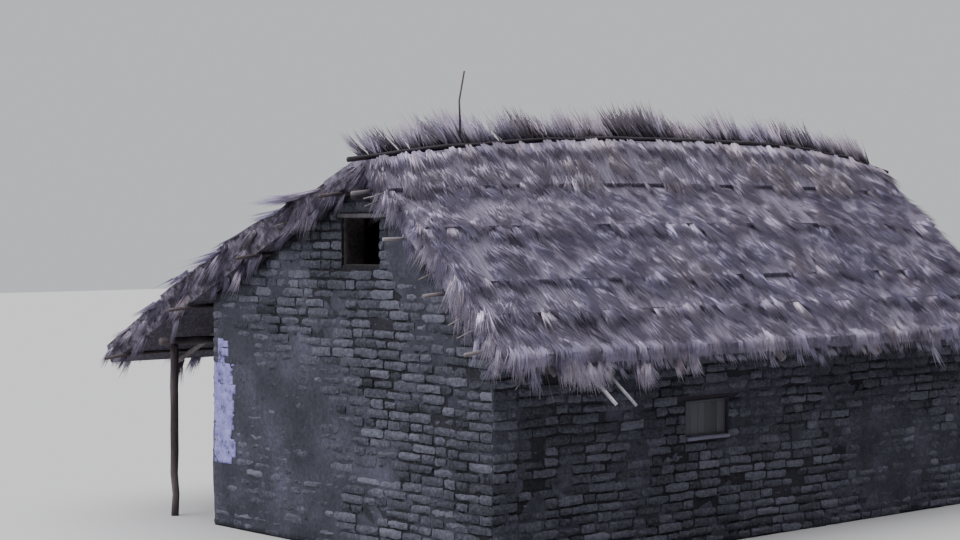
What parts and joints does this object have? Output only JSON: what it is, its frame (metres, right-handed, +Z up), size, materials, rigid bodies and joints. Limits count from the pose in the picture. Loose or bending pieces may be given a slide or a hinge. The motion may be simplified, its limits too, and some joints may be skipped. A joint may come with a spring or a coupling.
{
  "type": "thatched mud-brick house",
  "caption": "Small rural house of sun-dried mud brick with a steep front and a long low back slope of lapped thatch, an open veranda behind, shuttered front window and gable vents.",
  "frame": {"origin": "middle of the footprint of the whole house, with its eaves and pole ends, at ground level", "axes": "+X along the ridge towards the far gable, +Y from the front wall towards the veranda, +Z up"},
  "size_m": [10.6, 8.3438, 5.92],
  "materials": {
    "adobe": "matte",
    "thatch": "matte",
    "dark_pole": "matte",
    "ridge_pole": "matte",
    "pale_pole": "matte",
    "lintel_board": "matte",
    "grey_board": "matte"
  },
  "bodies": {
    "root": {"near_gable_wall": "adobe", "near_gable_window_lintel": "lintel_board", "far_gable_wall": "adobe", "far_gable_window_lintel": "lintel_board", "front_wall": "adobe", "front_window_lintel": "lintel_board", "front_window_sill": "grey_board", "front_window_frame": "grey_board", "shutter_left": "grey_board", "shutter_right": "grey_board", "back_wall_left": "adobe", "back_wall_right": "adobe", "door_lintel": "lintel_board", "back_wall_over_door": "adobe", "front_wall_plate": "dark_pole", "back_wall_plate": "dark_pole", "ridge_beam": "dark_pole", "veranda_plate": "dark_pole", "veranda_post_1": "dark_pole", "veranda_post_2": "dark_pole", "veranda_post_3": "dark_pole", "veranda_post_4": "dark_pole", "front_rafter_1": "pale_pole", "back_rafter_1": "pale_pole", "front_rafter_2": "pale_pole", "back_rafter_2": "pale_pole", "front_rafter_3": "pale_pole", "back_rafter_3": "pale_pole", "front_rafter_4": "pale_pole", "back_rafter_4": "pale_pole", "front_rafter_5": "pale_pole", "back_rafter_5": "pale_pole", "front_batten_1": "pale_pole", "front_batten_2": "pale_pole", "front_batten_3": "pale_pole", "front_batten_4": "pale_pole", "back_batten_1": "pale_pole", "back_batten_2": "pale_pole", "back_batten_3": "pale_pole", "back_batten_4": "pale_pole", "front_thatch_course_1": "thatch", "front_thatch_course_2": "thatch", "front_thatch_course_3": "thatch", "front_thatch_course_4": "thatch", "back_thatch_course_1": "thatch", "back_thatch_course_2": "thatch", "back_thatch_course_3": "thatch", "back_thatch_course_4": "thatch", "thatch_ridge_cap": "thatch", "ridge_crest_tufts": "thatch", "ridge_pole_1": "ridge_pole", "ridge_pole_2": "ridge_pole", "ridge_pole_3": "ridge_pole", "ridge_stick": "ridge_pole"}
  },
  "joints": []
}
